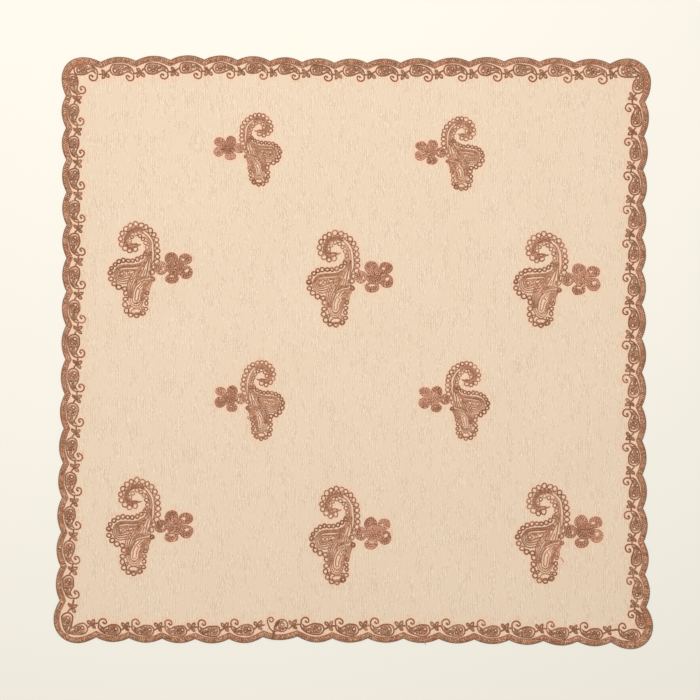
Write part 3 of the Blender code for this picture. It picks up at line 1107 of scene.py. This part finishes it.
def strands(stations, count, **kind):
    """Cords side by side, which spread and close up as the sweep does."""
    line, ways, halves = swept(stations)
    right = np.column_stack([ways[:, 1], -ways[:, 0]])
    return [Run(line + right * (halves * u)[:, None], **kind) for u in np.linspace(-1, 1, count)]


Oval = namedtuple("Oval", "x y wide tall tilt")


COIL_STEPS = 18  # points to a turn
COIL_START = 1.2  # radians


def on_oval(x, y, wide, tall, tilt, angles):
    """Points on an oval, which may change from one point to the next, turned by its tilt, in degrees."""
    tilt = np.radians(tilt)
    across = wide * np.cos(angles)
    up = tall * np.sin(angles)
    turned = [x + across * np.cos(tilt) - up * np.sin(tilt), y + across * np.sin(tilt) + up * np.cos(tilt)]
    return np.column_stack(turned)


def coil(outer, inner, pitch, **kind):
    """One cord wound in from an outer oval to an inner one, closely enough to cover what is between."""
    shift = math.hypot(outer.x - inner.x, outer.y - inner.y)
    turns = (max(outer.wide - inner.wide, outer.tall - inner.tall) + shift) / pitch
    share = np.linspace(-1 / turns, 1, round(turns * COIL_STEPS) + COIL_STEPS)
    ovals = np.array(outer) + (np.array(inner) - np.array(outer)) * share.clip(0)[:, None]
    return Run(on_oval(*ovals.T, 2 * math.pi * turns * share + COIL_START), **kind)


def oval(shape, **kind):
    return Run(on_oval(*shape, np.radians(np.arange(0, 360, 20))), True, **kind)


# How far inside its left edge, its back and its right edge each cord of the paisley's body lies, and the
# stations at which it stops on its left and on its right.
Contour = namedtuple("Contour", "left back right left_stop right_stop")
BODY_CONTOURS = (
    Contour(6.8, 6.6, 7.6, 3.4, 0.5),
    Contour(8.0, 8.3, 10.0, 2.0, 0.6),
    Contour(9.2, 10.3, 12.4, 3.0, 0.65),
    Contour(11.6, 12.2, 14.6, 2.0, 0.75),
)
FAN = (
    Station(0.6, 18.5, 1.2),
    Station(-1.4, 10.0, 3.0),
    Station(-3.7, 3.0, 4.8),
    Station(-6.6, -6.4, 8.0),
)
FAN_FORKS = 14  # the point along the fan where a cord more starts between each two
Cord = namedtuple("Cord", "inset first last")  # along the paisley's right edge, from station to station
SPINE = (
    Cord(6.4, 2.2, 11.0),
    Cord(9.5, 3.6, 6.2),
    Cord(11.3, 3.4, 5.8),
    Cord(7.6, 6.4, 10.8),
    Cord(8.8, 6.2, 10.7),
    Cord(10.0, 6.2, 9.2),
)


def sprig_paisley():
    corner = round_start(PAISLEY, 2.5, 70, 8)
    lower = round_start(PAISLEY, 2.7, 172)[5:]
    guides = [
        Run(swept_edge(PAISLEY, 1, 2.9, 2.0, 11.4), ring=BIG_RING, deep=0.45),
        Run(swept_edge(PAISLEY, -1, 2.0, 3.5, 10.5), ring=HOOK_RING, deep=0.2),
        Run(np.vstack([swept_edge(PAISLEY, -1, 2.4, 0, 3.2)[::-1], corner[1:]]), ring=SMALL_RING, deep=0.9),
        Run(lower, ring=LOWER_RING, deep=0.9),
    ]
    contours = [lobe(PAISLEY, *contour, deep=0.35) for contour in BODY_CONTOURS]
    spine = [Run(swept_edge(PAISLEY, 1, *each), height=CROSSING_HEIGHT, rosy=0.5) for each in SPINE]
    eyes = [
        oval(Oval(-27.0, -3.6, 6.4, 3.0, 4)),
        ring(-28.6, -4.2, 1.6),
        ring(-24.4, -4.0, 1.6),
        Run(((-31.6, -2.6), (-29.0, -1.8), (-25.0, -1.5), (-21.8, -2.4)), height=CROSSING_HEIGHT),
    ]
    rays = [
        Run(((-20.6, -4.4), (-17.0, -3.7), (-12.6, -3.0)), height=CROSSING_HEIGHT),
        Run(((-20.6, -1.6), (-16.0, -0.4), (-11.6, 0.6)), height=CROSSING_HEIGHT),
    ]
    fan = strands(FAN, 4, height=CROSSING_HEIGHT, deep=0.2)
    between = strands([station._replace(half=station.half * 2 / 3) for station in FAN], 3, deep=0.2)
    fan += [cord._replace(points=cord.points[FAN_FORKS:]) for cord in between]
    foot = [Run(((-15.0, -6.8), (-6.5, -7.4), (2.8, -7.0)), height=CROSSING_HEIGHT)]
    tip = [
        Run(((-22.6, 22.6), (-19.4, 21.2), (-15.8, 22.4), (-8.6, 25.4)), deep=0.8),
        Run(((-22.4, 24.0), (-19.0, 22.8), (-15.0, 23.8), (-9.2, 25.2)), height=CROSSING_HEIGHT, rosy=0.8),
        Run(((-23.0, 25.8), (-20.4, 24.8), (-16.2, 25.4), (-12.0, 25.2)), deep=0.8),
    ]
    return [*guides, *contours, *spine, *eyes, *rays, *fan, *foot, *tip]


VEINS = (Cord(2.0, 1.7, 3.2), Cord(4.0, 1.9, 3.2), Cord(6.0, 1.7, 3.2))


def sprig_drop():
    left = np.vstack([swept_edge(DROP, -1, 2.8, 0, 0.9)[::-1], round_start(DROP, 2.8, 130, 12)[1:]])
    right = np.vstack([round_start(DROP, 2.4)[9:], swept_edge(DROP, 1, 2.4, 0.1, 1.5)])
    guides = [Run(left, ring=BIG_RING - 0.2, deep=0.8), Run(right, ring=SMALL_RING, deep=0.7)]
    heart = lobe(DROP_HEART, 0.0, 0.0, 0.0, 4, 4)
    slit = lobe(DROP_HEART, 2.3, 2.3, 2.3, 1.7, 1.5)._replace(closed=True)
    veins = [Run(swept_edge(DROP_HEART, 1, *vein)) for vein in VEINS]
    cradle = strands(DROP_CRADLE, 3)
    bundle = strands(DROP_CRADLE[1:6], 5, height=CROSSING_HEIGHT, rosy=0.5)
    brow = strands(DROP_BROW, 3, height=CROSSING_HEIGHT)
    window = oval(Oval(-13.9, -42.2, 4.9, 2.5, 3), deep=0.3)
    sill = Run(((-21.8, -42.4), (-17.8, -44.9), (-12.6, -45.8), (-8.6, -44.4)), deep=0.6)
    small = [ring(-21.2, -37.8, 1.5, deep=0.6), ring(-7.4, -39.2, 1.5, deep=0.6), ring(-23.6, -26.0, 0.9)]
    knot = [ring(2.9, -9.8, 2.0, deep=1.0), ring(2.7, -9.8, 0.9)]
    shoulder = [Run(swept_edge(DROP, 1, inset, 1.4, 3)) for inset in (0.7, 2.7, 4.7)]
    return [*guides, heart, slit, *veins, *cradle, *bundle, *brow, window, sill, *small, *knot, *shoulder]


COIL_PITCH = 1.95
PETAL_LIGHT = (0.94, 0.53, 0.345, 1.0)
Petal = namedtuple("Petal", "whole slit")
PETALS = (
    Petal(Oval(21.9, 10.9, 5.9, 5.9, 0), Oval(22.3, 10.4, 0.3, 0.3, 0)),
    Petal(Oval(36.3, 10.3, 5.9, 4.9, 0), Oval(33.0, 10.0, 2.2, 1.7, 0)),
    Petal(Oval(37.0, -2.8, 5.9, 5.7, 30), Oval(37.2, -0.2, 3.4, 1.5, 15)),
    Petal(Oval(22.4, -9.0, 6.1, 4.4, 0), Oval(23.2, -6.4, 4.0, 1.5, 0)),
)
FLOWER_MIDDLE = Petal(Oval(26.0, 2.0, 8.2, 7.2, 0), Oval(25.6, 3.0, 0.3, 0.3, 0))
SPRIG_LEAF = Petal(Oval(11.3, 1.5, 5.6, 5.6, 0), Oval(14.0, 0.8, 1.8, 2.6, 0))


def sprig_flower(opening):
    """Its petals, whose slits are drawn this much open, its middle and its leaf."""
    petals = []
    for whole, slit in PETALS:
        slit = slit._replace(wide=slit.wide * opening, tall=slit.tall * opening)
        petals.append(coil(whole, slit, COIL_PITCH, rosy=0.5))
    middle_coil = coil(FLOWER_MIDDLE.whole, FLOWER_MIDDLE.slit, COIL_PITCH, height=CROSSING_HEIGHT, rosy=0.5)
    leaf = coil(SPRIG_LEAF.whole, SPRIG_LEAF.slit, COIL_PITCH, height=CROSSING_HEIGHT)
    return [*petals, middle_coil, leaf]


Sprig = namedtuple("Sprig", "x y width height flower lean")
LARGE_SPRIGS = (
    Sprig(-203.0, 82.0, 85.0, 96.0, 1, 0.0),
    Sprig(-3.5, 73.0, 87.0, 97.0, 1, 0.0),
    Sprig(203.5, 71.5, 87.0, 96.0, 1, -2.5),
    Sprig(-203.5, -175.5, 87.0, 98.0, 1, -2.5),
    Sprig(-3.0, -183.5, 82.0, 98.0, 1, 0.0),
    Sprig(206.0, -181.5, 88.0, 100.0, 1, 0.0),
)
SMALL_SPRIGS = (
    Sprig(-105.0, 202.0, 68.0, 73.0, -1, 0.0),
    Sprig(97.0, 198.0, 70.0, 74.0, -1, 0.0),
    Sprig(-103.0, -48.5, 70.0, 80.0, -1, 0.0),
    Sprig(101.5, -49.0, 71.0, 79.0, -1, 0.0),
)


def sprig_places(sprigs):
    return [
        Place(
            s.x - middle[0] / MM,
            s.y - middle[1] / MM,
            math.radians(s.lean),
            s.flower * s.width / DESIGN_WIDTH,
            s.height / DESIGN_HEIGHT,
        )
        for s in sprigs
    ]


sprig = sprig_paisley() + sprig_drop()
embroidered("large_sprigs", sprig, sprig_places(LARGE_SPRIGS), Step=1.4 * MM, Radius=0.58 * MM)
embroidered("small_sprigs", sprig, sprig_places(SMALL_SPRIGS), Step=1.4 * MM, Radius=0.53 * MM, Seed=7)

# The flowers are worked in a thicker, softer thread, whose stitches show as beads along it, with painted
# shade between them.
petal_thread = thread_material("petal_thread", PETAL_LIGHT, THREAD_DARK, 2.2 * MM, 0.75, 0.3, 0.85, 0.6)
thick = {"thread": petal_thread, "Flatness": 0.56, "Wander": 0.6 * MM}
embroidered("large_flowers", sprig_flower(1.0), sprig_places(LARGE_SPRIGS), Radius=1.02 * MM, **thick)
embroidered("small_flowers", sprig_flower(0.5), sprig_places(SMALL_SPRIGS), Radius=0.84 * MM, Seed=7, **thick)


# --------------------------------------
# Loose ends: a few ends of thin thread that were never trimmed, beside two drops and under the band.

LOOSE_ENDS = (
    Run(((206.7, -204.8), (208.9, -207.2), (210.5, -210.3)), height=1.3 * MM),
    Run(((-106.7, -66.3), (-105.6, -65.3), (-104.7, -63.8)), height=1.3 * MM),
    Run(((-105.2, -67.8), (-104.6, -66.2), (-103.7, -64.8)), height=1.3 * MM),
    Run(((71.3, -289.8), (71.6, -291.2), (72.1, -292.8)), height=0.5 * MM),
)
embroidered("loose_ends", LOOSE_ENDS, AS_DRAWN, binding_thread, Radius=0.28 * MM, Wander=0.1 * MM)


# --------------------------------------
# Near the embroidery a rosy cast is painted on the crepe, for the reddish light that the thread bounces
# onto it. The crepe's look reads it from the points of its mesh.

THREAD_SAMPLE = 5  # one point of the embroidery in so many is enough
CAST_NEAR = 1.0 * MM
CAST_FAR = 3.4 * MM


def points_of(piece):
    flat = np.empty(3 * len(piece.data.vertices), np.float32)
    piece.data.vertices.foreach_get("co", flat)
    return flat.reshape(-1, 3)


def mark_thread_bounce():
    pieces = [piece for piece in bpy.data.objects if piece.get("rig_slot") == "embroidery_thread"]
    threads = np.vstack([points_of(piece)[::THREAD_SAMPLE] for piece in pieces])
    nearby = kdtree.KDTree(len(threads))
    for index, point in enumerate(threads):
        nearby.insert(point, index)
    nearby.balance()
    off = np.array([nearby.find(point)[2] for point in points_of(ground)])
    share = np.clip((CAST_FAR - off) / (CAST_FAR - CAST_NEAR), 0.0, 1.0)
    ground.data.attributes.new("worked", "FLOAT", "POINT").data.foreach_set("value", share)


mark_thread_bounce()


# --------------------------------------
# The setting: a plain pale table, one large soft lamp beyond the top left corner, and a camera that looks
# straight down.

TABLE_COLOUR = (0.97, 0.929, 0.822, 1.0)
TABLE_SHADED = (0.5, 0.45, 0.4, 1.0)
TABLE_HALF = 3.0
LAMP_AT = (-0.20, 0.71, 2.25)
LAMP_SIZE = 1.2
LAMP_POWER = 43.0
DAYLIGHT = 0.3
LENS = 85.0
VIEW_WIDTH = 0.700  # what the camera takes in, across the table
VIEW_MIDDLE = (-3.31 * MM, 2.2 * MM)


def table():
    signs = ((-1, -1), (1, -1), (1, 1), (-1, 1))
    corners = [(x * TABLE_HALF, y * TABLE_HALF, 0.0) for x, y in signs]
    made = new_object("table_top", corners, [], [(0, 1, 2, 3)])
    material, tree, shader = new_material("table_paint")
    where = node(tree, "ShaderNodeTexCoord").outputs["Object"]
    shade = ranged(tree, noised(tree, where, (0.5, 0.5, 0.5)), 0.3, 0.7, 0.0, 0.015)
    tree.links.new(blended(tree, shade, TABLE_COLOUR, TABLE_SHADED), shader.inputs["Base Color"])
    shader.inputs["Roughness"].default_value = 0.9
    shader.inputs["Specular IOR Level"].default_value = 0.1
    made.data.materials.append(material)


def lamp():
    light = bpy.data.lights.new("soft_lamp", "AREA")
    light.shape = "SQUARE"
    light.size = LAMP_SIZE
    light.energy = LAMP_POWER
    made = bpy.data.objects.new("soft_lamp", light)
    made.location = LAMP_AT
    made.rotation_euler = (-made.location).to_track_quat("-Z", "Y").to_euler()
    bpy.context.scene.collection.objects.link(made)
    world = bpy.data.worlds.new("daylight")
    world.use_nodes = True
    world.node_tree.nodes["Background"].inputs["Color"].default_value = (1.0, 1.0, 1.0, 1.0)
    world.node_tree.nodes["Background"].inputs["Strength"].default_value = DAYLIGHT
    bpy.context.scene.world = world
    bpy.context.scene.view_settings.view_transform = "Standard"


def camera():
    data = bpy.data.cameras.new("overhead")
    data.lens = LENS
    made = bpy.data.objects.new("overhead", data)
    made.location = (*VIEW_MIDDLE, VIEW_WIDTH * LENS / data.sensor_width)
    bpy.context.scene.collection.objects.link(made)
    bpy.context.scene.camera = made


table()
lamp()
camera()
